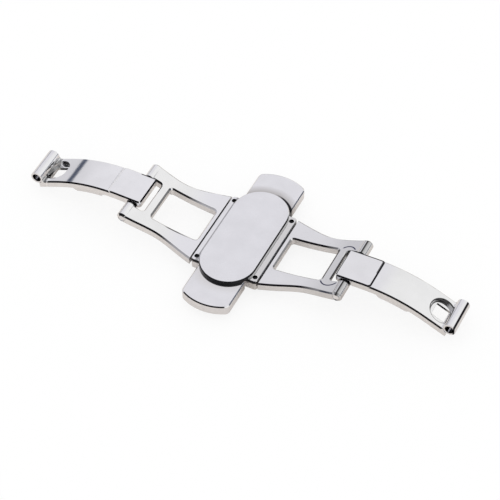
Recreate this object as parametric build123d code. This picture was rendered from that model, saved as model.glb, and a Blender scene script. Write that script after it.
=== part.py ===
import os
from math import atan2, cos, hypot, radians, sin, sqrt, tan

from build123d import *

# Butterfly clasp for a watch strap, lying open on its outer side, wrist side up.
# X runs along the strap, Y across it, Z up from the surface that the clasp lies on.

# Running fits and small gaps, in millimetres
pin_clearance = 0.03
slide_clearance = 0.04
hinge_side_gap = 0.25
knuckle_gap = 0.05
closed_gap = 0.10
overrun = 1.0
edge_bevel = 0.14
small_bevel = 0.08
fit_tolerance = 0.01
probe_shares = (0, 0.5, 1)
arm_bevel = 0.22
blade_bevel = 0.20

# Centre body, from the strap side up
hook_reach = 1.20
front_cover_thickness = 0.40
cavity_height = 1.30
back_cover_thickness = 0.55
frame_length_y = 13.80
frame_corner_radius = 0.45
strip_outer_x = 5.28
strip_inner_x = 4.20
strip_lid_thickness = 0.45
end_wall_thickness = 0.80
hinge_lug_length = 1.90
bridge_width = 0.90
bridge_thickness = 0.35
spring_rib_width = 0.50
spring_rib_length = 3.00
lintel_height = 0.30

# Oval cover on the wrist side
oval_half_width = 4.30
oval_half_length = 9.45

# Inner hinge
inner_pin_radius = 0.35
inner_pin_inset = 0.43
inner_knuckle_radius = 0.55
stake_radius = 0.375
stake_inset_x = 0.59
stake_inset_y = 0.85
stake_sink = 0.30

# Push buttons
button_half_width = 3.75
button_side_length = 5.25
button_crown = 1.10
button_thickness = 1.68
button_corner_radius = 0.90
button_bevel = 0.16
button_travel = 0.50
button_stop_gap = 0.10
tongue_half_width = 2.60
tongue_thickness = 0.53
tongue_end_y = 2.00

# Catch plates with their hooks
catch_thickness = 0.35
catch_bar_width = 1.45
catch_leg_width = 0.90
hook_width = 0.80
hook_shank = 0.50
hook_middle_gap = 0.10
barb_reach = 0.35
barb_height = 0.28
barb_tip = 0.12
hook_inset = 0.40
eye_closed_x = 3.70
rivet_sides = 12
rivet_radius = 0.35
catch_rivet_x = 1.60
cover_rivet_radius = 0.30
cover_rivet_inset = 0.75

# Leaf springs behind the buttons
spring_thickness = 0.15
spring_height = 0.60
spring_half_length = 2.30
spring_seat_gap = 0.02

# Arms
arm_gap_x = 0.24
arm_drop = 0.15
arm_thickness = 1.20
arm_radius = 40.0
arm_waist_inset = 1.55
arm_waist_setback = 5.60
arm_shoulder_length = 1.48
arm_shoulder_inset = 0.40
arm_ear_inset = 1.15
arm_ear_flare_angle = 5.0
window_margin = 0.68
window_half_width = 3.20
window_corner_radius = 0.45
crossbar_width = 1.35
crossbar_setback = 2.15
crossbar_relief = 0.42
notch_corner_radius = 0.45
tongue_drop = 0.35

# Outer hinge
outer_pin_radius = 0.50
outer_knuckle_radius = 0.85
ear_round = 0.30
ear_step = 0.10
blade_face_offset = 0.05

# Blades
blade_half_width = 2.75
blade_thickness = 1.00
blade_tail = 1.50
blade_corner_radius = 0.50
root_length = 4.00
root_rise = 0.12
blade_root_straight = 2.60
blade_arc_radius = 22.0
blade_turn_angle = 26.0
blade_open_angle = 1.5
blade_end_straight = 1.50
blade_crease = 1.15
recess_radius = 1.90
recess_depth = 0.60
recess_bevel = 0.12
eye_half_width = 1.10
eye_corner_radius = 0.15
pad_start = 4.40
pad_end = 10.60
pad_thickness = 0.75
pad_slope = 0.90
pad_half_width = 2.45

# Strap bar tubes
tube_radius = 0.95
tube_bore_radius = 0.70
tube_half_length = 2.65
tube_forward = 2.05
tube_rise = 1.66
web_thickness = 0.80
web_foot = 2.20
tube_weld_gap = 0.02

# Levels and places that follow
front_cover_top = hook_reach + front_cover_thickness
frame_top = front_cover_top + cavity_height
lid_bottom = frame_top - strip_lid_thickness
half_frame_y = frame_length_y / 2
inner_pin_x = strip_outer_x - inner_pin_inset
stake_x = strip_outer_x - stake_inset_x
stake_y = half_frame_y - stake_inset_y
cover_rivet_x = strip_inner_x - cover_rivet_inset
cover_rivet_y = half_frame_y - end_wall_thickness / 2
lug_inner_y = half_frame_y - hinge_lug_length
inner_pin_z = lid_bottom - knuckle_gap - inner_knuckle_radius
end_wall_inner_y = half_frame_y - end_wall_thickness
button_inner_y = half_frame_y + button_travel + button_stop_gap
button_corner_y = button_inner_y + button_side_length
button_tip_y = button_corner_y + button_crown
button_top = frame_top - slide_clearance
catch_bottom = front_cover_top + slide_clearance
catch_top = catch_bottom + catch_thickness
catch_bar_outer_y = end_wall_inner_y - slide_clearance
catch_bar_inner_y = catch_bar_outer_y - catch_bar_width
catch_rivet_y = (catch_bar_outer_y + catch_bar_inner_y) / 2
hook_inner_y = hook_middle_gap / 2 + button_travel
hook_outer_y = hook_inner_y + hook_shank
turn = radians(blade_turn_angle)
closed_run_x = blade_root_straight * cos(turn) + blade_arc_radius * sin(turn) + blade_end_straight
closed_rise = blade_root_straight * sin(turn) + blade_arc_radius * (1 - cos(turn))
outer_pin_x = eye_closed_x + closed_run_x + blade_face_offset * sin(turn)
outer_pin_z = hook_reach - closed_gap + closed_rise + blade_face_offset * cos(turn)
hook_x = eye_closed_x - hook_inset
fold_angle = 180.0 - blade_turn_angle + blade_open_angle
arm_inner_x = strip_outer_x + arm_gap_x
arm_waist_half_width = half_frame_y - arm_waist_inset
arm_ear_half_width = half_frame_y - arm_ear_inset
crossbar_outer_x = outer_pin_x - crossbar_setback
window_outer_x = crossbar_outer_x - crossbar_width
window_inner_x = arm_inner_x + window_margin
arm_top_z = frame_top - arm_drop
arm_knuckle_half_length = lug_inner_y - knuckle_gap
notch_half_width = blade_half_width + hinge_side_gap


def block(x0, x1, y0, y1, z0, z1):
    return Pos((x0 + x1) / 2, (y0 + y1) / 2, (z0 + z1) / 2) * Box(x1 - x0, y1 - y0, z1 - z0)


def rod_y(radius, y0, y1, x, z):
    return Pos(x, (y0 + y1) / 2, z) * Rot(90, 0, 0) * Cylinder(radius, y1 - y0)


def rod_z(radius, z0, z1, x, y):
    return Pos(x, y, (z0 + z1) / 2) * Cylinder(radius, z1 - z0)


def rivet_z(radius, z0, z1, x, y):
    """A small upright rivet, or the hole for it, with a few flat sides."""
    return Pos(x, y, z0) * extrude(RegularPolygon(radius, rivet_sides), z1 - z0)


def upright(outline, z0, z1):
    """A flat XY outline as a prism between two heights."""
    return extrude(Pos(0, 0, z0) * make_face(outline), z1 - z0)


def side_prism(outline, y0, y1):
    """An outline drawn in X and Z as a prism between two places across the strap."""
    return Pos(0, y1, 0) * extrude(Plane.XZ * make_face(outline), y1 - y0)


def front_rear(shape):
    """A piece of the front button and its mirror image for the rear one."""
    return shape, mirror(shape, Plane.XZ)


def right_left(shape):
    """A piece of the right side and its mirror image for the left."""
    return shape, mirror(shape, Plane.YZ)


def circle_top(x, z, radius):
    """The height of a circle about a centre x, z below that centre."""
    return lambda px: z - sqrt(radius ** 2 - (px - x) ** 2)


def edges_where(shape, test):
    """The edges whose start, middle and end all pass a test."""
    return [edge for edge in shape.edges() if all(test(edge @ share) for share in probe_shares)]


def bevel(shape, length, test):
    return chamfer(edges_where(shape, test), length)


# Centre frame: two strips over the hinge knuckles, end walls, bridge and spring rib

def center_frame():
    body = block(-strip_outer_x, strip_outer_x, -half_frame_y, half_frame_y, front_cover_top, frame_top)
    lug_foot = block(strip_inner_x, strip_outer_x, lug_inner_y, half_frame_y, hook_reach, front_cover_top)
    for foot in (*right_left(lug_foot), *right_left(mirror(lug_foot, Plane.XZ))):
        body += foot
    body -= block(-strip_inner_x, strip_inner_x, -end_wall_inner_y, end_wall_inner_y,
                  front_cover_top - overrun, frame_top + overrun)
    body += block(-strip_inner_x, strip_inner_x, -bridge_width / 2, bridge_width / 2,
                  frame_top - bridge_thickness, frame_top)
    channel = block(strip_inner_x - slide_clearance, strip_outer_x + overrun, -lug_inner_y, lug_inner_y,
                    hook_reach - overrun, lid_bottom)
    for side_channel in right_left(channel):
        body -= side_channel
    gate = block(-tongue_half_width - slide_clearance, tongue_half_width + slide_clearance,
                 end_wall_inner_y - overrun, half_frame_y + overrun,
                 front_cover_top - overrun, frame_top - lintel_height)
    for end_gate in front_rear(gate):
        body -= end_gate
    body += block(-spring_rib_length / 2, spring_rib_length / 2, -spring_rib_width / 2, spring_rib_width / 2,
                  front_cover_top, frame_top)
    body = fillet(edges_where(body, on_frame_corner), frame_corner_radius)
    body = bevel(body, small_bevel, on_strip_rim)
    pin_hole = rod_y(inner_pin_radius, -stake_y, stake_y, inner_pin_x, inner_pin_z)
    for hole in right_left(pin_hole):
        body -= hole
    for x in (-stake_x, stake_x):
        for y in (-stake_y, stake_y):
            body -= rod_z(stake_radius, hook_reach - overrun, frame_top + overrun, x, y)
    for x in (-cover_rivet_x, cover_rivet_x):
        for y in (-cover_rivet_y, cover_rivet_y):
            body -= rivet_z(cover_rivet_radius, front_cover_top - overrun, frame_top + overrun, x, y)
    return body


def on_frame_corner(point):
    """Whether a point lies on one of the four upright outer corners."""
    return (abs(abs(point.X) - strip_outer_x) < fit_tolerance
            and abs(abs(point.Y) - half_frame_y) < fit_tolerance)


def on_strip_rim(point):
    """Whether a point lies on the outer rim of the upper face."""
    on_side = abs(point.X) > strip_outer_x - frame_corner_radius
    on_end = abs(point.Y) > half_frame_y - frame_corner_radius
    return abs(point.Z - frame_top) < fit_tolerance and (on_side or on_end)


def oval_outline(half_width, half_length):
    straight = half_length - half_width
    right = Line((half_width, -straight), (half_width, straight))
    top = ThreePointArc((half_width, straight), (0, half_length), (-half_width, straight))
    left = Line((-half_width, straight), (-half_width, -straight))
    bottom = ThreePointArc((-half_width, -straight), (0, -half_length), (half_width, -straight))
    return [right, top, left, bottom]


def back_cover():
    plate = upright(oval_outline(oval_half_width, oval_half_length), frame_top,
                    frame_top + back_cover_thickness)
    return chamfer(plate.edges().group_by(Axis.Z)[-1], edge_bevel)


def front_cover():
    plate = block(-strip_inner_x, strip_inner_x, -half_frame_y, half_frame_y, hook_reach, front_cover_top)
    slot_half_width = hook_width / 2 + slide_clearance
    slot_half_length = hook_outer_y + slide_clearance
    for x in (-hook_x, hook_x):
        plate -= block(x - slot_half_width, x + slot_half_width, -slot_half_length, slot_half_length,
                       hook_reach - overrun, front_cover_top + overrun)
    for x in (-cover_rivet_x, cover_rivet_x):
        for y in (-cover_rivet_y, cover_rivet_y):
            plate -= rivet_z(cover_rivet_radius, hook_reach - overrun, front_cover_top + overrun, x, y)
    return plate


def cover_rivets():
    return Compound([rivet_z(cover_rivet_radius, hook_reach, frame_top, x, y)
                     for x in (-cover_rivet_x, cover_rivet_x)
                     for y in (-cover_rivet_y, cover_rivet_y)])


def pin_stakes():
    return Compound([rod_z(stake_radius, hook_reach, frame_top - stake_sink, x, y)
                     for x in (-stake_x, stake_x) for y in (-stake_y, stake_y)])


def inner_pin():
    reach = stake_y - stake_radius
    return rod_y(inner_pin_radius, -reach, reach, inner_pin_x, inner_pin_z)


# Front button, tongue and catch; the rear ones are their mirror images

def button():
    inner = -button_inner_y
    outline = [Line((-button_half_width, inner), (button_half_width, inner)),
               Line((button_half_width, inner), (button_half_width, -button_corner_y)),
               ThreePointArc((button_half_width, -button_corner_y), (0, -button_tip_y),
                             (-button_half_width, -button_corner_y)),
               Line((-button_half_width, -button_corner_y), (-button_half_width, inner))]
    body = upright(outline, button_top - button_thickness, button_top)
    corners = body.edges().filter_by(Axis.Z).group_by(Axis.Y)[0]
    body = fillet(corners, button_corner_radius)
    body = bevel(body, button_bevel, on_button_rim)
    body += block(-tongue_half_width, tongue_half_width, inner, -tongue_end_y,
                  catch_top, catch_top + tongue_thickness)
    for x in (-catch_rivet_x, catch_rivet_x):
        body -= rivet_z(rivet_radius, catch_top - overrun, catch_top + tongue_thickness + overrun,
                        x, -catch_rivet_y)
    return body


def on_button_rim(point):
    """Whether a point lies on the upper or lower rim of the button's head, but not on its inner end."""
    levels = (button_top, button_top - button_thickness)
    on_level = any(abs(point.Z - level) < fit_tolerance for level in levels)
    return on_level and (point.Y < -button_inner_y - fit_tolerance or abs(point.X) > tongue_half_width)


def catch():
    leg_outer_x = hook_x + catch_leg_width / 2
    leg_inner_x = hook_x - catch_leg_width / 2
    plate = block(-leg_outer_x, leg_outer_x, -catch_bar_outer_y, -catch_bar_inner_y, catch_bottom, catch_top)
    for x in (-catch_rivet_x, catch_rivet_x):
        plate -= rivet_z(rivet_radius, catch_bottom - overrun, catch_top + overrun, x, -catch_rivet_y)
    leg = block(leg_inner_x, leg_outer_x, -catch_bar_inner_y, -hook_inner_y, catch_bottom, catch_top)
    barb_outer_y = hook_outer_y + barb_reach
    tip_y = hook_outer_y + barb_tip
    outline = Polyline((-hook_inner_y, catch_bottom), (-hook_inner_y, 0), (-tip_y, 0),
                       (-barb_outer_y, barb_height), (-hook_outer_y, barb_height),
                       (-hook_outer_y, catch_bottom), close=True)
    hook = extrude(Plane.YZ * make_face(outline), hook_width)
    hook = Pos(hook_x - hook_width / 2, 0, 0) * hook
    for piece in (leg, hook):
        plate += piece
        plate += mirror(piece, Plane.YZ)
    return plate


def catch_rivets():
    return Compound([rivet_z(rivet_radius, catch_bottom, catch_top + tongue_thickness, x, -catch_rivet_y)
                     for x in (-catch_rivet_x, catch_rivet_x)])


def button_spring():
    near = spring_rib_width / 2 + spring_seat_gap
    far = tongue_end_y - spring_seat_gap
    outer = ThreePointArc((-spring_half_length, -far), (0, -near), (spring_half_length, -far))
    inner = ThreePointArc((spring_half_length - spring_thickness, -far), (0, -near - spring_thickness),
                          (-spring_half_length + spring_thickness, -far))
    ends = [Line(outer @ 1, inner @ 0), Line(inner @ 1, outer @ 0)]
    bottom = catch_bottom + catch_thickness
    return upright([outer, ends[0], inner, ends[1]], bottom, bottom + spring_height)


# Right arm: a curved plate with its window, notch and hinge knuckles

def arm_circle():
    """Centre of the arc that the arm's mid-thickness follows; its face ends just under the knuckles' tops."""
    start_x = arm_inner_x
    start_z = arm_top_z - arm_thickness / 2
    run = outer_pin_x - start_x
    rise = outer_pin_z + outer_knuckle_radius - ear_step - arm_thickness / 2 - start_z
    chord = hypot(run, rise)
    height = sqrt(arm_radius ** 2 - (chord / 2) ** 2)
    return (start_x + run / 2 - rise / chord * height, start_z + rise / 2 + run / chord * height)


def arm_band(radius_low, radius_high, x0, x1):
    """The curved plate between two radii, seen from the side."""
    cx, cz = arm_circle()
    low = circle_top(cx, cz, radius_low)
    high = circle_top(cx, cz, radius_high)
    middle = (x0 + x1) / 2
    top = ThreePointArc((x0, high(x0)), (middle, high(middle)), (x1, high(x1)))
    end = Line((x1, high(x1)), (x1, low(x1)))
    bottom = ThreePointArc((x1, low(x1)), (middle, low(middle)), (x0, low(x0)))
    start = Line((x0, low(x0)), (x0, high(x0)))
    return [top, end, bottom, start]


def arm_plan():
    inner = (arm_inner_x, half_frame_y)
    shoulder = (arm_inner_x + arm_shoulder_length, half_frame_y - arm_shoulder_inset)
    waist = (outer_pin_x - arm_waist_setback, arm_waist_half_width)
    ear = (outer_pin_x, arm_ear_half_width)
    flare = tan(radians(arm_ear_flare_angle))
    edge = [Line(inner, shoulder),
            Spline(shoulder, waist, ear, tangents=[(arm_shoulder_length, -arm_shoulder_inset), (1, flare)])]
    ends = [Line((x, -y), (x, y)) for x, y in (inner, ear)]
    return [*edge, *[mirror(line, Plane.XZ) for line in edge], *ends]


def arm():
    inner_radius = arm_radius - arm_thickness / 2
    outer_radius = arm_radius + arm_thickness / 2
    height = frame_top + arm_radius
    body = side_prism(arm_band(outer_radius, inner_radius, arm_inner_x, outer_pin_x),
                      -half_frame_y, half_frame_y)
    body &= upright(arm_plan(), 0, height)
    window = Pos((window_inner_x + window_outer_x) / 2, 0, 0) * RectangleRounded(
        window_outer_x - window_inner_x, 2 * window_half_width, window_corner_radius)
    notch_end = outer_pin_x + outer_knuckle_radius + overrun
    notch = Pos((crossbar_outer_x + notch_end) / 2, 0, 0) * RectangleRounded(
        notch_end - crossbar_outer_x, 2 * notch_half_width, notch_corner_radius)
    body -= extrude(window, height)
    body -= extrude(notch, height)
    body = bevel(body, arm_bevel, on_arm_rim(inner_radius))
    body -= side_prism(arm_band(outer_radius + overrun, outer_radius - crossbar_relief,
                                window_outer_x - window_corner_radius, outer_pin_x),
                       -notch_half_width, notch_half_width)
    knuckle = rod_y(outer_knuckle_radius, -arm_ear_half_width, arm_ear_half_width, outer_pin_x, outer_pin_z)
    body += chamfer(knuckle.edges().filter_by(GeomType.CIRCLE), ear_round) - extrude(notch, height)
    arm_bottom_z = arm_top_z - arm_thickness
    body += block(inner_pin_x, arm_inner_x + arm_bevel, -arm_knuckle_half_length, arm_knuckle_half_length,
                  arm_bottom_z, inner_pin_z + tongue_drop)
    body += rod_y(inner_knuckle_radius, -arm_knuckle_half_length, arm_knuckle_half_length,
                  inner_pin_x, inner_pin_z)
    body -= rod_y(inner_pin_radius + pin_clearance, -half_frame_y, half_frame_y, inner_pin_x, inner_pin_z)
    body -= rod_y(outer_pin_radius, -half_frame_y, half_frame_y, outer_pin_x, outer_pin_z)
    return body


def on_arm_rim(radius):
    """A test for points on the rims of the curved face at this radius, its two straight ends left out."""
    cx, cz = arm_circle()
    inner_limit = arm_inner_x + fit_tolerance
    outer_limit = outer_pin_x - fit_tolerance

    def test(point):
        on_face = abs(hypot(point.X - cx, point.Z - cz) - radius) < fit_tolerance
        at_end = point.X < inner_limit or point.X > outer_limit
        return on_face and not (at_end and abs(point.Y) < notch_half_width)

    return test


def outer_pin():
    reach = arm_ear_half_width - small_bevel
    return rod_y(outer_pin_radius, -reach, reach, outer_pin_x, outer_pin_z)


# Right blade, drawn from its hinge axis with its root along X, outer face up

def blade_end_frame():
    """Where the straight end begins on the inner face, and its direction."""
    x = blade_root_straight + blade_arc_radius * sin(turn)
    z = blade_face_offset - blade_arc_radius * (1 - cos(turn))
    return x, z


def end_point(forward, rise):
    """A point given along and above the straight end's inner face, from the eye's centre."""
    x, z = blade_end_frame()
    along = blade_end_straight + forward
    return (x + along * cos(turn) + rise * sin(turn), z - along * sin(turn) + rise * cos(turn))


def arc_point(distance, rise):
    """A point along the blade from its hinge and above its inner face, on the curved stretch."""
    angle = (distance - blade_root_straight) / blade_arc_radius
    radius = blade_arc_radius + rise
    return (blade_root_straight + radius * sin(angle),
            blade_face_offset - blade_arc_radius + radius * cos(angle))


def blade_arc(rise, start, end):
    return ThreePointArc(arc_point(start, rise), arc_point((start + end) / 2, rise), arc_point(end, rise))


def place_blade(shape):
    return Pos(outer_pin_x, 0, outer_pin_z) * Rot(0, -blade_open_angle, 0) * shape


def blade():
    arc_end = blade_root_straight + blade_arc_radius * turn
    low = blade_face_offset
    high = blade_face_offset + blade_thickness
    rise_angle = atan2(tube_rise - blade_thickness / 2, tube_forward - blade_crease)
    web_half = web_thickness / 2
    side = (-sin(rise_angle) * web_half, cos(rise_angle) * web_half)
    near = (tube_forward - tube_bore_radius * cos(rise_angle), tube_rise - tube_bore_radius * sin(rise_angle))
    web_high = end_point(near[0] + side[0], near[1] + side[1])
    web_low = end_point(near[0] - side[0], near[1] - side[1])
    crease_high = end_point(blade_crease, blade_thickness)
    crease_low = end_point(web_foot, 0)
    outline = [Line((-blade_tail, low), (-blade_tail, high)),
               Line((-blade_tail, high), (blade_root_straight, high)),
               blade_arc(blade_thickness, blade_root_straight, arc_end),
               Line(arc_point(arc_end, blade_thickness), crease_high),
               Line(crease_high, web_high),
               Line(web_high, web_low),
               Line(web_low, crease_low),
               Line(crease_low, arc_point(arc_end, 0)),
               blade_arc(0, arc_end, blade_root_straight),
               Line((blade_root_straight, low), (-blade_tail, low))]
    body = side_prism(outline, -blade_half_width, blade_half_width)
    body = fillet(edges_where(body, on_blade_corner), blade_corner_radius)
    body = bevel(body, blade_bevel, on_blade_rim)
    body += blade_root()
    body += rod_y(outer_knuckle_radius, -blade_half_width, blade_half_width, 0, 0)
    body -= rod_y(outer_pin_radius + pin_clearance, -blade_half_width - overrun, blade_half_width + overrun,
                  0, 0)
    x, z = end_point(tube_forward, tube_rise)
    body -= rod_y(tube_radius + tube_weld_gap, -blade_half_width - overrun, blade_half_width + overrun, x, z)
    x, z = end_point(0, 0)
    eye_frame = Pos(x, 0, z) * Rot(0, blade_turn_angle, 0)
    recess = eye_frame * rod_z(recess_radius, blade_thickness - recess_depth,
                               blade_thickness + tube_rise, 0, 0)
    recess += eye_frame * Pos(0, 0, blade_thickness - recess_bevel / 2) * Cone(
        recess_radius, recess_radius + recess_bevel, recess_bevel)
    eye = eye_frame * Pos(0, 0, -overrun) * extrude(
        RectangleRounded(2 * eye_half_width, 2 * eye_half_width, eye_corner_radius),
        blade_thickness + 2 * overrun)
    return body - recess - eye


def blade_root():
    """The thicker root, a round-cornered plate that rises above the rest of the outer face."""
    low = blade_thickness / 2
    high = blade_thickness + root_rise
    root_z = blade_face_offset + high
    outline = [Line((-blade_tail, blade_face_offset + low), (-blade_tail, root_z)),
               Line((-blade_tail, root_z), (blade_root_straight, root_z)),
               blade_arc(high, blade_root_straight, root_length),
               Line(arc_point(root_length, high), arc_point(root_length, low)),
               blade_arc(low, root_length, blade_root_straight),
               Line((blade_root_straight, blade_face_offset + low), (-blade_tail, blade_face_offset + low))]
    end_x = arc_point(root_length, high)[0]
    plan = Pos((end_x - blade_tail) / 2, 0, 0) * RectangleRounded(
        end_x + blade_tail, 2 * blade_half_width, blade_corner_radius)
    plate = side_prism(outline, -blade_half_width, blade_half_width) & extrude(plan, root_z)
    return bevel(plate, blade_bevel, lambda point: abs(blade_rise(point) - high) < fit_tolerance)


def blade_rise(point):
    """How far a point lies above the blade's inner face."""
    ex, ez = blade_end_frame()
    along = (point.X - ex) * cos(turn) - (point.Z - ez) * sin(turn)
    if point.X < blade_root_straight:
        return point.Z - blade_face_offset
    if along > 0:
        return (point.X - ex) * sin(turn) + (point.Z - ez) * cos(turn)
    rise = point.Z - blade_face_offset + blade_arc_radius
    return hypot(point.X - blade_root_straight, rise) - blade_arc_radius


def on_blade_corner(point):
    """Whether a point lies on one of the two upright edges of the root end."""
    return abs(point.X + blade_tail) < fit_tolerance and abs(point.Y) > blade_half_width - fit_tolerance


def on_blade_rim(point):
    """Whether a point lies on the rim of the outer face, along its sides or round its root end."""
    on_face = abs(blade_rise(point) - blade_thickness) < fit_tolerance
    on_side = abs(point.Y) > blade_half_width - fit_tolerance
    return on_face and (on_side or point.X < blade_corner_radius - blade_tail)


def blade_pad():
    rise = -tube_weld_gap
    low = rise - pad_thickness
    outline = [blade_arc(rise, pad_start, pad_end),
               Line(arc_point(pad_end, rise), arc_point(pad_end - pad_slope, low)),
               blade_arc(low, pad_end - pad_slope, pad_start + pad_slope),
               Line(arc_point(pad_start + pad_slope, low), arc_point(pad_start, rise))]
    return side_prism(outline, -pad_half_width, pad_half_width)


def bar_tube():
    x, z = end_point(tube_forward, tube_rise)
    tube = rod_y(tube_radius, -tube_half_length, tube_half_length, x, z)
    return tube - rod_y(tube_bore_radius, -tube_half_length - overrun, tube_half_length + overrun, x, z)


def write(name, shape):
    export_step(shape, os.path.join("parts", name + ".step"))


def main():
    os.makedirs("parts", exist_ok=True)
    write("center_frame", center_frame())
    write("back_cover", back_cover())
    write("front_cover", front_cover())
    write("cover_rivets", cover_rivets())
    write("pin_stakes", pin_stakes())
    for part_name, make in (("button", button), ("catch", catch), ("catch_rivets", catch_rivets),
                            ("button_spring", button_spring)):
        front, rear = front_rear(make())
        write("front_" + part_name, front)
        write("rear_" + part_name, rear)
    for part_name, shape in (("inner_pin", inner_pin()), ("arm", arm()), ("outer_pin", outer_pin()),
                             ("blade", place_blade(blade())), ("blade_pad", place_blade(blade_pad())),
                             ("bar_tube", place_blade(bar_tube()))):
        right, left = right_left(shape)
        write("right_" + part_name, right)
        write("left_" + part_name, left)
    print("outer pin", outer_pin_x, round(outer_pin_z, 4), "inner pin", inner_pin_x, round(inner_pin_z, 4))
    print("eye closed x", round(eye_closed_x, 3), "hook x", round(hook_x, 3), "fold", fold_angle)


main()
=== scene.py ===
import math

import bpy
from mathutils import Matrix, Vector


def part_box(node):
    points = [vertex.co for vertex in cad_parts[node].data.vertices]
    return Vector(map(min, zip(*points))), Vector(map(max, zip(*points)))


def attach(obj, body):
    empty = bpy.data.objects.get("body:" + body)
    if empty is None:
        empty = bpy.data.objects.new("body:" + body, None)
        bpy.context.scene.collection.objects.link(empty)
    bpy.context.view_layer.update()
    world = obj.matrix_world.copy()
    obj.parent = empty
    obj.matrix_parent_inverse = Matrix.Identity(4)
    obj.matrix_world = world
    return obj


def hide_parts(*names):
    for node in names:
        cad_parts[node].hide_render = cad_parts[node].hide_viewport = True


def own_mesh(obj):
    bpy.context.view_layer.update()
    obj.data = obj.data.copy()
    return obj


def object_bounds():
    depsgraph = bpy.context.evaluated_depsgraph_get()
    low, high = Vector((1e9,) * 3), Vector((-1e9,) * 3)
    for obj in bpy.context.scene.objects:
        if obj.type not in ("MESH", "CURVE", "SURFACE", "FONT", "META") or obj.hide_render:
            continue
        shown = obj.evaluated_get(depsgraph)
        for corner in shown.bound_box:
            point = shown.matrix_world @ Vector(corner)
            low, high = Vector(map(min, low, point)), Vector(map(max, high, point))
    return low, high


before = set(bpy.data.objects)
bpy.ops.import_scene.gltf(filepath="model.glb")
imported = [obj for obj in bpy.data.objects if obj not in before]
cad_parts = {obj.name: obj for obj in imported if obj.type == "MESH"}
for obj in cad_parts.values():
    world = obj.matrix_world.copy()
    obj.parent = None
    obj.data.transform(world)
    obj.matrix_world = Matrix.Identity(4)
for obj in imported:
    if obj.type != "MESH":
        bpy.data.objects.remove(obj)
cad_box = [list(corner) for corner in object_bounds()]


# Stops: pairs of a place and the share there. Before the first stop and after the last one
# the share stays as it is at that stop

def band(start, full, still_full, end, level=1.0):
    """A share between two places, and none outside them."""
    return [(start, 0.0), (full, level), (still_full, level), (end, 0.0)]


def rise(start, full):
    """Nothing before start, and the whole from full on."""
    return [(start, 0.0), (full, 1.0)]


def fall(full, end):
    """The whole up to full, and nothing from end on."""
    return [(full, 1.0), (end, 0.0)]


# The axes, and metres to the millimetre
X, Y, Z = range(3)
MM = 0.001

# The photograph's view: angles in degrees, lengths in metres, the lens and sensor in millimetres
VIEW_AZIMUTH = 26.6
VIEW_ELEVATION = 48.4
VIEW_ROLL = -0.34
VIEW_DISTANCE = 314.4 * MM
AIM_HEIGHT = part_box("center_frame")[1][Z]
AIM_RIGHT = 0.79 * MM
AIM_DOWN = 1.70 * MM
VIEW_LENS = 155.4
SENSOR_WIDTH = 36.0
CLIP_START = 0.01
CLIP_END = 20.0

# The tent over the table as polished steel mirrors it: the angle from overhead towards +X, in
# degrees, and the level there, which is none in the tent's shadow stripes
TENT_LEVELS = [
    (-90.0, 0.74), (-71.0, 0.74), (-68.1, 0.72), (-66.8, 0.0), (-63.7, 0.0), (-62.4, 0.76),
    (-58.0, 0.79), (-47.0, 0.85), (-36.0, 0.88), (-22.0, 0.89), (-10.0, 0.91), (0.0, 0.955),
    (15.0, 0.995), (28.0, 1.0), (65.5, 1.0), (67.5, 0.0), (76.0, 0.0), (78.0, 1.0), (90.0, 1.0)]
TENT_SHADOW = (0.10, 0.115, 0.16)
TENT_LEFT_TINT = (0.995, 0.985, 1.02)
TENT_RIGHT_TINT = (1.0, 0.998, 0.99)
WHITE = (1.0, 1.0, 1.0)

# The dimmer front of the studio, round the camera: the height above a plane tipped towards the
# camera and the share of the tent's light that is left there, and from -X to +X how much of
# that dimming holds
FRONT_PLANE = (0.131, 0.920, 0.370)
FRONT_LEVELS = [
    (-1.0, 1.0), (-0.60, 1.0), (-0.57, 0.50), (-0.44, 0.50), (-0.41, 0.70), (-0.20, 0.80),
    (0.15, 0.90), (0.35, 1.0), (1.0, 1.0)]
FRONT_SIDES = band(-0.86, -0.78, 0.34, 0.44)

# The table: its colour as the steel mirrors it, and the share of it that takes shadows,
# as the camera sees it and as the steel does
TABLE_MIRRORED = (0.85, 0.80, 0.755)
TABLE_SHADE = 0.18
TABLE_SHADE_MIRRORED = 0.9
TABLE_SIZE = 4.0

# Colours, linear
BRIGHT_STEEL = (0.82, 0.82, 0.84)
# The left arm and blade are painted lighter than the right ones, as painted light on one steel
LEFT_ARM_STEEL = (0.85, 0.85, 0.86)
RIGHT_ARM_STEEL = (0.80, 0.80, 0.815)
LEFT_BLADE_STEEL = (0.865, 0.865, 0.88)
RIGHT_BLADE_STEEL = (0.83, 0.83, 0.84)
SATIN_STEEL = (0.81, 0.81, 0.835)
WARM_STEEL = (0.78, 0.765, 0.75)
SPRING_STEEL = (0.62, 0.60, 0.57)
# Near black: the stakes are painted as the shade in their holes
STAKE_STEEL = (0.045, 0.045, 0.05)
# Painted shade and painted dark reflections, linear
ARM_SHADE = (0.70, 0.70, 0.71)
EAR_SHADE = (0.05, 0.05, 0.05)
ARC_SHADE = (0.035, 0.04, 0.09)
WEB_SHADE = (0.40, 0.40, 0.40)
RING_SHADE = (0.06, 0.06, 0.06)
# The frame's right strip, painted darker as shade
STRIP_SHADE = (0.70, 0.695, 0.69)
# The buttons round the cover's ends, painted darker as the shade beside the cover, the rear one more
FRONT_BUTTON_SHADE = (0.72, 0.71, 0.71)
REAR_BUTTON_SHADE = (0.50, 0.485, 0.475)
# White, painted as highlights on the left blade's step and its web's crease
PAINTED_HIGHLIGHT = (1.0, 1.0, 1.0)
# Near black, painted as shade in crevices, gaps and hollows, and as dark reflection lines on bevels and
# edges
PAINTED_DARK = (0.02, 0.02, 0.023)

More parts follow.
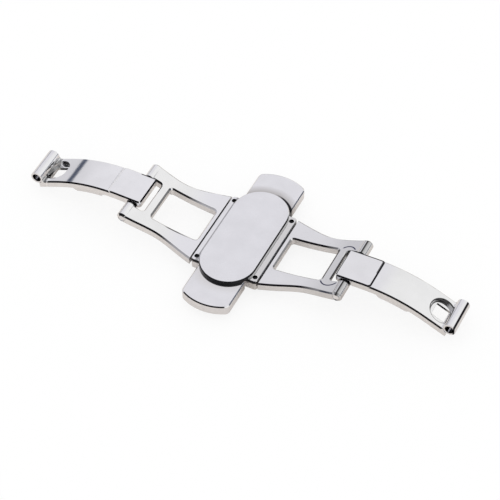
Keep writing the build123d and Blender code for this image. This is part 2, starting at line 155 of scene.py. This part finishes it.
# What all the steel has, with lengths in millimetres: cloudy patches, a fine grain, worn edges,
# and painted shade in the crevices, given as its reach and the openness where it is whole and where it ends
CLOUDS_PER_MM = 0.35
CLOUD_DETAIL = 3.0
CLOUD_RANGE = (0.35, 0.65)
CLOUD_SHADE = 0.955
GRAIN_DETAIL = 4.0
GRAIN_RANGE = (0.3, 0.7)
GRAIN_HEIGHT = 0.0012
WORN_EDGE = 0.05
WORN_EDGE_SAMPLES = 6
CREVICES = (0.5, 0.24, 0.54)
BLADE_CREVICES = (0.4, 0.18, 0.42)
CREVICE_SAMPLES = 12
PATCH_DETAIL = 2.0

# Finishes: the roughness and how far the grain moves it, the grain's lines per millimetre on each
# axis, and as wave the height of slow ripples in millimetres
GRAIN_ALONG = (0.6, 9.0, 9.0)
GRAIN_ACROSS = (9.0, 0.6, 9.0)
EVEN_GRAIN = (4.0, 4.0, 4.0)
ARM_FINISH = dict(roughness=0.08, grain=GRAIN_ALONG, wave=0.010)
BLADE_FINISH = dict(roughness=0.055, grain=GRAIN_ALONG, wave=0.008, crevices=BLADE_CREVICES)
PAD_FINISH = dict(roughness=0.20, grain=GRAIN_ALONG, wave=0.004, grain_share=0.12)
FRAME_FINISH = dict(roughness=0.12, grain=GRAIN_ACROSS, wave=0.004)
BUTTON_FINISH = dict(roughness=0.10, grain=GRAIN_ACROSS, wave=0.006)
TUBE_FINISH = dict(roughness=0.10, grain=GRAIN_ACROSS)
PIN_FINISH = dict(roughness=0.16, grain=GRAIN_ACROSS)
SPRING_FINISH = dict(roughness=0.25, grain=GRAIN_ACROSS)
COVER_FINISH = dict(roughness=0.22, grain=(12.0, 1.0, 12.0), wave=0.004)
CATCH_FINISH = dict(roughness=0.20, grain=(6.0, 1.0, 6.0))
RIVET_FINISH = dict(roughness=0.28, grain=EVEN_GRAIN)
STAKE_FINISH = dict(roughness=0.55, grain=EVEN_GRAIN)

# Directions; the diagonal is what a bevel's normal has on each of two axes
DIAGONAL = 0.707
TO_FRONT = (0.0, -1.0, 0.0)
TO_RIGHT = (1.0, 0.0, 0.0)
FRONT_BEVEL = (0.0, -DIAGONAL, DIAGONAL)
RIGHT_BEVEL = (DIAGONAL, 0.0, DIAGONAL)
WINDOW_END_BEVEL = (0.81, 0.0, 0.59)
COVER_CORNER = (0.45, -0.89, 0.0)

# The marks, painted shade, painted dark reflection lines and painted highlights, from here on with places in
# millimetres.
# ALONG is along X, ACROSS along Y, HEIGHT along Z, DEPTH under an arm's top, AWAY from an upright
# axis and INSIDE the outline of a blade's root. FACING is how squarely a surface faces a
# direction where a mark starts and where it is whole, and so are the FRONT_LINEs. PATCHES are so
# many to the millimetre, with the noise where they start and where they are whole. EDGES are how
# wide the painted shade on a rear edge is and how dark it is, and REAR_LEAN is how far its rounded
# normal leans to the rear where the painted shade starts and where it is whole
ARM_FRONT_LINE = (0.84, 0.91)
BLADE_FRONT_LINE = (0.87, 0.93)
CENTRE_FRONT_LINE = (0.90, 0.95)
REAR_LEAN = (0.08, 0.26)
REAR_EDGE_SAMPLES = 8
FINE_EDGES = (0.16, 0.6)

# Both arms: the height that their rising top would have at x = 0, its slope, and the painted shade on the
# fork's walls and the rear ear's inner wall
ARM_TOP = -0.751
ARM_SLOPE = 0.3520
FORK_FACING = (0.35, 0.6)
FORK_ALONG = rise(14.9, 15.1)
FORK_ACROSS = band(-3.2, -3.1, 3.2, 3.3)
FORK_DEPTH = fall(0.24, 0.40)
EAR_WALL_FACING = (0.7, 0.9)
EAR_WALL_ALONG = rise(16.2, 16.4)
EAR_WALL_ACROSS = band(2.8, 2.85, 3.15, 3.2)
EAR_WALL_HEIGHT = rise(4.4, 4.7)
ARM_EDGES = (0.20, 0.85)
ARM_EDGE_PATCHES = (0.35, 0.36, 0.50)

# The left arm: its inner half painted in the brighter steel as painted light, and two painted dark lines at
# its window
BRIGHT_ALONG = fall(8.5, 11.0)
LEFT_WINDOW_ALONG = band(-11.3, -10.6, -9.2, -7.2)
LEFT_WINDOW_ACROSS = band(-3.60, -3.54, -3.0, -2.9, 0.9)
LEFT_WINDOW_END_FACING = (0.95, 0.98)
LEFT_WINDOW_END_ALONG = band(-13.95, -13.90, -13.40, -13.35, 0.8)

# The right arm, in painted shade and painted dark reflections: its darker outer half, the arcs beside its
# fork, its ears, the crossbar's outer wall and two lines at its window
SHADED_HALF_ALONG = rise(11.5, 14.4)
FRONT_ARC = ((15.03, -2.81), 1.37)
REAR_ARC = ((15.14, 2.88), 1.08)
ARC_WIDTH = 0.13
ARC_ACROSS = rise(3.40, 3.50)
EAR_ALONG = [(17.02, 0.0), (17.10, 1.0), (17.26, 1.0), (17.36, 0.4), (18.02, 0.0)]
CROSSBAR_FACING = (0.3, 0.6)
CROSSBAR_ALONG = band(14.9, 14.95, 15.3, 15.35)
CROSSBAR_DEPTH = fall(0.85, 1.05)
RIGHT_WINDOW_END_ALONG = band(13.4, 13.5, 13.94, 14.0)
RIGHT_WINDOW_END_ACROSS = band(-3.2, -2.9, 2.9, 3.2)
RIGHT_WINDOW_START_FACING = (0.965, 0.99)
RIGHT_WINDOW_START_ALONG = band(5.85, 5.90, 6.45, 6.50, 0.7)

# Both blades: the root plate, which ends in a step with round corners and carries painted dark lines, and
# the recess's rear wall in painted shade
HINGE_X = sum(corner[X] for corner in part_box("right_outer_pin")) / 2 / MM
ROOT_LENGTH = 4.0
ROOT_END = HINGE_X + ROOT_LENGTH
ROOT_HALF_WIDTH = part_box("right_blade")[1][Y] / MM
ROOT_CORNER = 0.50
STEP_INSIDE = band(0.0, 0.03, 0.23, 0.27)
STEP_ALONG = rise(ROOT_END - 0.50, ROOT_END - 0.45)
ROOT_EDGE_INSIDE = fall(0.32, 0.36)
ROOT_EDGE_ACROSS = rise(0.0, 0.1)
ROOT_START_FACING = (0.90, 0.95)
ROOT_START_ALONG = fall(HINGE_X - 1.0, HINGE_X - 0.9)
EYE_X = 31.28
RECESS_WALL_FACING = (0.3, 0.7)
RECESS_WALL_ALONG = [(29.0, 0.0), (29.1, 1.0), (EYE_X, 1.0), (EYE_X + 0.4, 0.4)]
RECESS_WALL_ACROSS = band(0.2, 0.6, 2.2, 2.3)

# The left blade: its step and its web's crease carry painted highlights, and its web is painted darker in
# patches as shade.
# SMOOTHED_BY is what polishing the step out adds to the radius of its edges
LEFT_ROOT_EDGE_ALONG = fall(HINGE_X + 0.9, HINGE_X + 1.1)
SMOOTHED_BY = 0.35
SMOOTHED_ALONG = band(ROOT_END - 0.45, ROOT_END - 0.40, ROOT_END + 0.30, ROOT_END + 0.35)
SMOOTHED_ACROSS = band(-2.45, -2.40, 2.40, 2.45)
CREASE_X = 31.65
CREASE_ALONG = band(CREASE_X - 0.10, CREASE_X - 0.04, CREASE_X + 0.04, CREASE_X + 0.10)
WEB_ALONG = rise(CREASE_X, CREASE_X + 0.12)
WEB_ACROSS = band(-2.74, -2.68, 2.68, 2.74)
WEB_PATCHES = (1.1, 0.30, 0.55)

# The right blade: the painted shade on its rear edges and the painted dark ring round its recess, which
# leans by so many degrees
RIGHT_ROOT_EDGE_ALONG = fall(ROOT_END - 0.3, ROOT_END - 0.2)
RECESS_LEAN = 24.5
RECESS_SQUEEZE = math.cos(math.radians(RECESS_LEAN))
RECESS_RADIUS = 1.90
RING_AWAY = band(RECESS_RADIUS - 0.04, RECESS_RADIUS, RECESS_RADIUS + 0.12, RECESS_RADIUS + 0.18, 0.9)
BLADE_EDGE_PATCHES = (0.30, 0.42, 0.54)

# The centre, in painted shade: the walls of the frame that face the front, its right strip and the seam left
# of the cover; the cover's front walls; the buttons, darkened round the cover's ends, and the rear one's
# seam
COVER_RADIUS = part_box("back_cover")[1][X] / MM
COVER_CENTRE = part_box("back_cover")[1][Y] / MM - COVER_RADIUS
STRIP_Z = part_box("center_frame")[1][Z] / MM
END_WALL_FACING = (0.3, 0.6)
END_WALL_HEIGHT = rise(STRIP_Z - 0.60, STRIP_Z - 0.42)
STRIP_ALONG = rise(3.9, 4.2)
SEAM_ALONG = band(-COVER_RADIUS - 0.34, -COVER_RADIUS - 0.27, -COVER_RADIUS + 0.1, -COVER_RADIUS + 0.2, 0.55)
SEAM_HEIGHT = rise(STRIP_Z - 0.06, STRIP_Z - 0.03)
COVER_WALL_FACING = (0.15, 0.45)
COVER_CORNER_FACING = (0.05, 0.2)
COVER_CORNER_HEIGHT = rise(STRIP_Z + 0.17, STRIP_Z + 0.27)
COVER_SHADE_AWAY = fall(COVER_RADIUS + 0.35, COVER_RADIUS + 1.75)
REAR_SEAM_AWAY = fall(COVER_RADIUS + 0.50, COVER_RADIUS + 0.58)
REAR_SEAM_ALONG = rise(0.2, 1.6)
BUTTON_EDGE_PATCHES = (0.30, 0.40, 0.52)

# The right tube: a painted dark reflection streak along its outer side
STREAK_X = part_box("right_bar_tube")[1][X] / MM - 0.27
STREAK_ALONG = band(STREAK_X - 0.18, STREAK_X - 0.12, STREAK_X + 0.09, STREAK_X + 0.14)


# Nodes

# A Mix node's colour sockets, by number
MIX_FIRST = 6
MIX_SECOND = 7
MIX_RESULT = 2


def empty_tree(owner):
    """The node tree of a material or world, cleared."""
    owner.use_nodes = True
    owner.node_tree.nodes.clear()
    return owner.node_tree


def add(tree, kind, inputs=None, **settings):
    """A shader node; each input takes a value or another node's output."""
    node = tree.nodes.new("ShaderNode" + kind)
    for name, value in settings.items():
        setattr(node, name, value)
    for key, value in (inputs or {}).items():
        if isinstance(value, bpy.types.NodeSocket):
            tree.links.new(value, node.inputs[key])
        else:
            node.inputs[key].default_value = value
    return node


def math_of(tree, operation, *values):
    return add(tree, "Math", dict(enumerate(values)), operation=operation).outputs[0]


def parts_of(tree, vector):
    return add(tree, "SeparateXYZ", {0: vector}).outputs


def dot_of(tree, first, second):
    return add(tree, "VectorMath", {0: first, 1: second}, operation="DOT_PRODUCT").outputs["Value"]


def scaled(tree, vector, scale):
    return add(tree, "Mapping", {"Vector": vector, "Scale": scale}).outputs[0]


def noise_of(tree, place, scale, detail):
    return add(tree, "TexNoise", {"Vector": place, "Scale": scale, "Detail": detail}).outputs[0]


def between(tree, value, start, end, low=0.0, high=1.0, **settings):
    """A value that goes from low to high while another one goes from start to end."""
    return add(tree, "MapRange", {"Value": value, "From Min": start, "From Max": end, "To Min": low,
                                  "To Max": high}, **settings).outputs[0]


def levels_of(tree, value, levels):
    """A colour ramp, from stops of a place and a grey or colour."""
    low, high = levels[0][0], levels[-1][0]
    node = add(tree, "ValToRGB", {"Fac": between(tree, value, low, high)})
    stops = node.color_ramp.elements
    stops[0].position = 0.0
    stops[1].position = 1.0
    while len(stops) < len(levels):
        stops.new(0.5)
    for stop, (place, level) in zip(stops, levels):
        stop.position = (place - low) / (high - low)
        stop.color = (*level, 1.0) if isinstance(level, tuple) else (level, level, level, 1.0)
    return node.outputs[0]


def mix_of(tree, share, first, second):
    """The first colour, or as far as the share goes the second."""
    node = add(tree, "Mix", {"Factor": share}, data_type="RGBA")
    for key, value in ((MIX_FIRST, first), (MIX_SECOND, second)):
        if isinstance(value, bpy.types.NodeSocket):
            tree.links.new(value, node.inputs[key])
        else:
            node.inputs[key].default_value = (*value, 1.0)
    return node.outputs[MIX_RESULT]


# Camera

def make_camera():
    azimuth = math.radians(VIEW_AZIMUTH)
    elevation = math.radians(VIEW_ELEVATION)
    back = Vector((math.sin(azimuth) * math.cos(elevation),
                   -math.cos(azimuth) * math.cos(elevation), math.sin(elevation)))
    right = Vector((math.cos(azimuth), math.sin(azimuth), 0.0))
    up = back.cross(right)
    target = Vector((0.0, 0.0, AIM_HEIGHT)) + right * AIM_RIGHT - up * AIM_DOWN
    data = bpy.data.cameras.new("camera")
    data.lens = VIEW_LENS
    data.sensor_width = SENSOR_WIDTH
    data.clip_start = CLIP_START
    data.clip_end = CLIP_END
    camera = bpy.data.objects.new("camera", data)
    bpy.context.scene.collection.objects.link(camera)
    turn = Matrix((right, up, back)).transposed().to_4x4()
    roll = Matrix.Rotation(math.radians(VIEW_ROLL), 4, "Z")
    camera.matrix_world = Matrix.Translation(target + back * VIEW_DISTANCE) @ turn @ roll
    bpy.context.scene.camera = camera


# Studio

def tent_colour(tree, direction):
    """What polished steel mirrors in each direction above the table."""
    apart = parts_of(tree, direction)
    angle = math_of(tree, "DEGREES", math_of(tree, "ARCTAN2", apart[X], apart[Z]))
    stops = []
    for place, level in TENT_LEVELS:
        tint = TENT_RIGHT_TINT if place >= 0 else TENT_LEFT_TINT
        stops.append((place, tuple(level * part for part in tint) if level else TENT_SHADOW))
    tent = levels_of(tree, angle, stops)
    front = levels_of(tree, dot_of(tree, direction, FRONT_PLANE), FRONT_LEVELS)
    sides = levels_of(tree, apart[X], FRONT_SIDES)
    dimmed = add(tree, "Mix", {"Factor": 1.0, MIX_FIRST: tent, MIX_SECOND: front},
                 data_type="RGBA", blend_type="MULTIPLY")
    return mix_of(tree, sides, tent, dimmed.outputs[MIX_RESULT])


def make_world():
    world = bpy.data.worlds.new("studio")
    tree = empty_tree(world)
    direction = add(tree, "TexCoord").outputs["Generated"]
    mirrored = add(tree, "LightPath").outputs["Is Glossy Ray"]
    colour = mix_of(tree, mirrored, WHITE, tent_colour(tree, direction))
    background = add(tree, "Background", {"Color": colour, "Strength": 1.0})
    output = add(tree, "OutputWorld", {"Surface": background.outputs[0]})
    output.is_active_output = True
    bpy.context.scene.world = world


def table_material():
    """White that keeps a faint shadow and shows warm grey in the steel."""
    material = bpy.data.materials.new("table")
    tree = empty_tree(material)
    mirrored = add(tree, "LightPath").outputs["Is Glossy Ray"]
    colour = mix_of(tree, mirrored, WHITE, TABLE_MIRRORED)
    glow = add(tree, "Emission", {"Color": colour, "Strength": 1.0})
    matt = add(tree, "BsdfDiffuse", {"Color": colour})
    shade = between(tree, mirrored, 0.0, 1.0, TABLE_SHADE, TABLE_SHADE_MIRRORED)
    both = add(tree, "MixShader", {0: shade, 1: glow.outputs[0], 2: matt.outputs[0]})
    add(tree, "OutputMaterial", {"Surface": both.outputs[0]})
    return material


def make_table():
    """The table that the clasp lies on."""
    low = cad_box[0][Z]
    half = TABLE_SIZE / 2
    corners = [(-half, -half, low), (half, -half, low), (half, half, low), (-half, half, low)]
    mesh = bpy.data.meshes.new("table")
    mesh.from_pydata(corners, [], [(0, 1, 2, 3)])
    mesh.materials.append(table_material())
    table = bpy.data.objects.new("table", mesh)
    bpy.context.scene.collection.objects.link(table)


# Shares: where on a piece something holds, from none to whole. Each is a function of the node
# tree and the place on the piece in millimetres

def along(axis, stops, mirrored=False):
    """By the place on an axis; mirrored takes both sides of the middle alike."""
    def share(tree, place):
        value = parts_of(tree, place)[axis]
        if mirrored:
            value = math_of(tree, "ABSOLUTE", value)
        return levels_of(tree, value, stops)
    return share


def facing(direction, limits):
    """By how squarely the surface faces a direction."""
    def share(tree, place):
        normal = add(tree, "TexCoord").outputs["Normal"]
        return between(tree, dot_of(tree, normal, direction), *limits)
    return share


def under_arm_top(stops):
    """By the depth under the top of an arm."""
    def share(tree, place):
        x, _, z = parts_of(tree, place)
        top = math_of(tree, "MULTIPLY_ADD", math_of(tree, "ABSOLUTE", x), ARM_SLOPE, ARM_TOP)
        return levels_of(tree, math_of(tree, "SUBTRACT", top, z), stops)
    return share


def ring(centre, stops, squeeze=1.0):
    """By the distance from an upright axis, in plan; squeeze is a leaning circle's width along X."""
    def share(tree, place):
        stretch = (1.0 / squeeze, 1.0, 0.0)
        flat = add(tree, "VectorMath", {0: place, 1: stretch}, operation="MULTIPLY").outputs[0]
        middle = (centre[X] / squeeze, centre[Y], 0.0)
        away = add(tree, "VectorMath", {0: flat, 1: middle}, operation="DISTANCE").outputs["Value"]
        return levels_of(tree, away, stops)
    return share


def inside_root(side, stops):
    """By how far a point lies inside the outline of a blade's root plate, at its outer end."""
    def past(tree, value, limit):
        over = math_of(tree, "MAXIMUM", math_of(tree, "SUBTRACT", value, limit), 0.0)
        return math_of(tree, "POWER", over, 2.0)

    def share(tree, place):
        x, y, _ = parts_of(tree, place)
        over_x = past(tree, math_of(tree, "MULTIPLY", x, side), ROOT_END - ROOT_CORNER)
        over_y = past(tree, math_of(tree, "ABSOLUTE", y), ROOT_HALF_WIDTH - ROOT_CORNER)
        reach = math_of(tree, "SQRT", math_of(tree, "ADD", over_x, over_y))
        return levels_of(tree, math_of(tree, "SUBTRACT", ROOT_CORNER, reach), stops)
    return share


def patches(scale, low, high):
    """In soft patches of so many to the millimetre."""
    def share(tree, place):
        return between(tree, noise_of(tree, place, scale, PATCH_DETAIL), low, high)
    return share


def rear_edges(radius, strength):
    """Towards the edges where a surface turns down to the rear."""
    def share(tree, place):
        rounded = add(tree, "Bevel", {"Radius": radius * MM}, samples=REAR_EDGE_SAMPLES).outputs[0]
        flat = add(tree, "NewGeometry").outputs["Normal"]
        lean = math_of(tree, "SUBTRACT", parts_of(tree, rounded)[Y], parts_of(tree, flat)[Y])
        return between(tree, lean, *REAR_LEAN, high=strength)
    return share


def all_of(*shares):
    """By all the shares at once, each taking its part."""
    def share(tree, place):
        whole = shares[0](tree, place)
        for other in shares[1:]:
            whole = math_of(tree, "MULTIPLY", whole, other(tree, place))
        return whole
    return share


# Steel

def paint(colour, *shares):
    """A change of colour, as far as all the shares together go."""
    def change(tree, place, base):
        return mix_of(tree, all_of(*shares)(tree, place), base, colour)
    return change


def front_line(limits):
    """The painted dark reflection line on the bevels that face the front."""
    return paint(PAINTED_DARK, facing(FRONT_BEVEL, limits))


def painted_edge_shade(edges, spots):
    """Painted shade in patches on the edges that turn down to the rear."""
    return paint(PAINTED_DARK, rear_edges(*edges), patches(*spots))


def steel_colour(tree, place, clouds, colour, crevices, changes):
    """Cloudy polish with its changes in turn, and painted shade in the crevices over them."""
    dull = tuple(part * CLOUD_SHADE for part in colour)
    base = mix_of(tree, between(tree, clouds, *CLOUD_RANGE), dull, colour)
    for change in changes:
        base = change(tree, place, base)
    reach, closed, unshaded = crevices
    openness = add(tree, "AmbientOcclusion", {"Distance": reach * MM}, samples=CREVICE_SAMPLES).outputs["AO"]
    return mix_of(tree, between(tree, openness, closed, unshaded, interpolation_type="SMOOTHSTEP"), PAINTED_DARK, base)


def steel_normal(tree, place, clouds, lines, wave, smoothed):
    """Worn edges, slow ripples and a fine grain."""
    radius = WORN_EDGE * MM
    if smoothed:
        radius = math_of(tree, "MULTIPLY_ADD", smoothed(tree, place), SMOOTHED_BY * MM, radius)
    normal = add(tree, "Bevel", {"Radius": radius}, samples=WORN_EDGE_SAMPLES).outputs[0]
    for height, depth in ((clouds, wave), (lines, GRAIN_HEIGHT)):
        normal = add(tree, "Bump", {"Height": height, "Distance": depth * MM, "Strength": 1.0,
                                    "Normal": normal}).outputs[0]
    return normal


def steel(name, colour, roughness, grain, grain_share=0.25, wave=0.0, crevices=CREVICES, changes=(),
          smoothed=None):
    """A steel; grain_share is how far the grain moves the roughness, and smoothed the share of the
    surface where the edges are polished out."""
    material = bpy.data.materials.new(name)
    tree = empty_tree(material)
    place = scaled(tree, add(tree, "TexCoord").outputs["Object"], (1 / MM, 1 / MM, 1 / MM))
    clouds = noise_of(tree, place, CLOUDS_PER_MM, CLOUD_DETAIL)
    lines = noise_of(tree, scaled(tree, place, grain), 1.0, GRAIN_DETAIL)
    rough = between(tree, lines, *GRAIN_RANGE, roughness * (1 - grain_share), roughness * (1 + grain_share))
    shader = add(tree, "BsdfPrincipled", {
        "Base Color": steel_colour(tree, place, clouds, colour, crevices, changes),
        "Metallic": 1.0,
        "Roughness": rough,
        "Normal": steel_normal(tree, place, clouds, lines, wave, smoothed)})
    add(tree, "OutputMaterial", {"Surface": shader.outputs[0]})
    return material


def dress(material, *nodes):
    for name in nodes:
        for slot in bpy.data.objects[name].material_slots:
            slot.material = material


# Arms

def arm_marks():
    """The marks that both arms have: painted shade on the fork's and rear ear's walls and on the rear edges.
    """
    fork = paint(PAINTED_DARK, facing(TO_FRONT, FORK_FACING), along(X, FORK_ALONG, mirrored=True),
                 along(Y, FORK_ACROSS), under_arm_top(FORK_DEPTH))
    ear_wall = paint(PAINTED_DARK, facing(TO_FRONT, EAR_WALL_FACING), along(X, EAR_WALL_ALONG, mirrored=True),
                     along(Y, EAR_WALL_ACROSS), along(Z, EAR_WALL_HEIGHT))
    return [fork, ear_wall, painted_edge_shade(ARM_EDGES, ARM_EDGE_PATCHES)]


def dress_left_arm():
    # Painted light: the inner half in another tone, and painted dark lines at the window
    inner_half = paint(BRIGHT_STEEL, along(X, BRIGHT_ALONG, mirrored=True))
    window_line = paint(PAINTED_DARK, along(X, LEFT_WINDOW_ALONG), along(Y, LEFT_WINDOW_ACROSS))
    window_end = paint(PAINTED_DARK, facing(WINDOW_END_BEVEL, LEFT_WINDOW_END_FACING),
                       along(X, LEFT_WINDOW_END_ALONG))
    changes = [front_line(ARM_FRONT_LINE), inner_half, *arm_marks(), window_line, window_end]
    dress(steel("left_arm_steel", LEFT_ARM_STEEL, changes=changes, **ARM_FINISH), "left_arm")


def dress_right_arm():
    # Painted shade and painted dark reflections: the outer half, the arcs, the ears, the window and the
    # crossbar
    changes = [front_line(ARM_FRONT_LINE), paint(ARM_SHADE, along(X, SHADED_HALF_ALONG))]
    for centre, radius in (FRONT_ARC, REAR_ARC):
        width = band(radius - ARC_WIDTH, radius - ARC_WIDTH / 2, radius + ARC_WIDTH / 2, radius + ARC_WIDTH)
        changes.append(paint(ARC_SHADE, ring(centre, width), along(Y, ARC_ACROSS, mirrored=True)))
    ears = paint(EAR_SHADE, along(X, EAR_ALONG))
    window_end = paint(PAINTED_DARK, along(X, RIGHT_WINDOW_END_ALONG), along(Y, RIGHT_WINDOW_END_ACROSS))
    crossbar = paint(PAINTED_DARK, facing(TO_RIGHT, CROSSBAR_FACING), along(X, CROSSBAR_ALONG),
                     under_arm_top(CROSSBAR_DEPTH))
    window_start = paint(PAINTED_DARK, facing(RIGHT_BEVEL, RIGHT_WINDOW_START_FACING),
                         along(X, RIGHT_WINDOW_START_ALONG))
    changes += [ears, window_end, crossbar, window_start, *arm_marks()]
    dress(steel("right_arm_steel", RIGHT_ARM_STEEL, changes=changes, **ARM_FINISH), "right_arm")


# Blades

def blade_marks(side, step_colour, root_edge_along):
    """The marks that both blades have, painted shade and painted dark lines; the step's painted colour and
    the rear edge's painted line differ.
    """
    step = paint(step_colour, inside_root(side, STEP_INSIDE), along(X, STEP_ALONG, mirrored=True))
    recess_wall = paint(PAINTED_DARK, facing(TO_FRONT, RECESS_WALL_FACING), along(Y, RECESS_WALL_ACROSS),
                        along(X, RECESS_WALL_ALONG, mirrored=True))
    root_edge = paint(PAINTED_DARK, inside_root(side, ROOT_EDGE_INSIDE), along(Y, ROOT_EDGE_ACROSS),
                      along(X, root_edge_along, mirrored=True))
    root_start = paint(PAINTED_DARK, facing((-side * DIAGONAL, 0.0, DIAGONAL), ROOT_START_FACING),
                       along(X, ROOT_START_ALONG, mirrored=True))
    return [front_line(BLADE_FRONT_LINE), step, recess_wall, root_edge, root_start]


def dress_left_blade():
    # Painted highlights on the step and crease, and painted shade on the web
    crease = paint(PAINTED_HIGHLIGHT, along(X, CREASE_ALONG, mirrored=True))
    web = paint(WEB_SHADE, along(X, WEB_ALONG, mirrored=True), along(Y, WEB_ACROSS), patches(*WEB_PATCHES))
    changes = [*blade_marks(-1, PAINTED_HIGHLIGHT, LEFT_ROOT_EDGE_ALONG), crease, web]
    over_step = all_of(along(X, SMOOTHED_ALONG, mirrored=True), along(Y, SMOOTHED_ACROSS))
    dress(steel("left_blade_steel", LEFT_BLADE_STEEL, changes=changes, smoothed=over_step, **BLADE_FINISH),
          "left_blade")


def dress_right_blade():
    # Painted dark ring round the recess, and painted shade on the rear edges
    recess_ring = paint(RING_SHADE, ring((EYE_X, 0.0), RING_AWAY, RECESS_SQUEEZE))
    changes = [*blade_marks(1, PAINTED_DARK, RIGHT_ROOT_EDGE_ALONG), recess_ring,
               painted_edge_shade(FINE_EDGES, BLADE_EDGE_PATCHES)]
    dress(steel("right_blade_steel", RIGHT_BLADE_STEEL, changes=changes, **BLADE_FINISH), "right_blade")


# Centre

def dress_frame():
    # Painted shade on the right strip, along the seam left of the cover and on the front end walls
    right_strip = paint(STRIP_SHADE, along(X, STRIP_ALONG))
    left_seam = paint(PAINTED_DARK, along(X, SEAM_ALONG), along(Z, SEAM_HEIGHT))
    end_wall = paint(PAINTED_DARK, facing(TO_FRONT, END_WALL_FACING), along(Z, END_WALL_HEIGHT))
    changes = [front_line(CENTRE_FRONT_LINE), right_strip, left_seam, end_wall]
    dress(steel("frame_steel", BRIGHT_STEEL, changes=changes, **FRAME_FINISH), "center_frame")


def dress_button(side, name, shade_colour):
    """A button, on side -1 the front one and 1 the rear one, with painted shade round the cover's end; the
    rear one also has a painted dark seam line.
    """
    centre = (0.0, side * COVER_CENTRE)
    # Painted shade round the cover's end, and on the rear button a painted dark line beside the cover
    changes = [front_line(CENTRE_FRONT_LINE), paint(shade_colour, ring(centre, COVER_SHADE_AWAY))]
    if side > 0:
        changes.append(paint(PAINTED_DARK, ring(centre, REAR_SEAM_AWAY), along(X, REAR_SEAM_ALONG)))
    changes.append(painted_edge_shade(FINE_EDGES, BUTTON_EDGE_PATCHES))
    dress(steel(name + "_steel", BRIGHT_STEEL, changes=changes, **BUTTON_FINISH), name)


def dress_cover():
    # Painted shade on the cover's front walls and its right corner
    wall = paint(PAINTED_DARK, facing(TO_FRONT, COVER_WALL_FACING))
    corner = paint(PAINTED_DARK, facing(COVER_CORNER, COVER_CORNER_FACING), along(Z, COVER_CORNER_HEIGHT))
    dress(steel("cover_steel", SATIN_STEEL, changes=[wall, corner], **COVER_FINISH), "back_cover")
    dress(steel("inside_cover_steel", SATIN_STEEL, **COVER_FINISH), "front_cover")


# Small pieces

def dress_tubes():
    dress(steel("left_tube_steel", BRIGHT_STEEL, **TUBE_FINISH), "left_bar_tube")
    # Painted dark reflection streak along the right tube
    streak = paint(PAINTED_DARK, along(X, STREAK_ALONG))
    dress(steel("right_tube_steel", BRIGHT_STEEL, changes=[streak], **TUBE_FINISH), "right_bar_tube")


def dress_plain_pieces():
    dress(steel("pad_steel", BRIGHT_STEEL, **PAD_FINISH), "left_blade_pad", "right_blade_pad")
    dress(steel("catch_steel", SATIN_STEEL, **CATCH_FINISH), "front_catch", "rear_catch")
    dress(steel("pin_steel", BRIGHT_STEEL, **PIN_FINISH),
          "left_inner_pin", "right_inner_pin", "left_outer_pin", "right_outer_pin")
    dress(steel("rivet_steel", WARM_STEEL, **RIVET_FINISH),
          "cover_rivets", "front_catch_rivets", "rear_catch_rivets")
    dress(steel("stake_steel", STAKE_STEEL, **STAKE_FINISH), "pin_stakes")


def bend_spring(name):
    """A leaf spring copied from its part and attached to its button, with a mesh of its own."""
    node = bpy.data.objects[name + "_button_spring"]
    leaf = bpy.data.objects.new(name + "_leaf_spring", node.data.copy())
    bpy.context.scene.collection.objects.link(leaf)
    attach(leaf, name + "_button")
    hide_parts(name + "_button_spring")
    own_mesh(leaf)
    dress(steel(name + "_spring_steel", SPRING_STEEL, **SPRING_FINISH), name + "_leaf_spring")


make_camera()
make_world()
make_table()
dress_left_arm()
dress_right_arm()
dress_left_blade()
dress_right_blade()
dress_frame()
dress_button(-1, "front_button", FRONT_BUTTON_SHADE)
dress_button(1, "rear_button", REAR_BUTTON_SHADE)
dress_cover()
dress_tubes()
dress_plain_pieces()
bend_spring("front")
bend_spring("rear")
bpy.context.scene.view_settings.view_transform = "Standard"
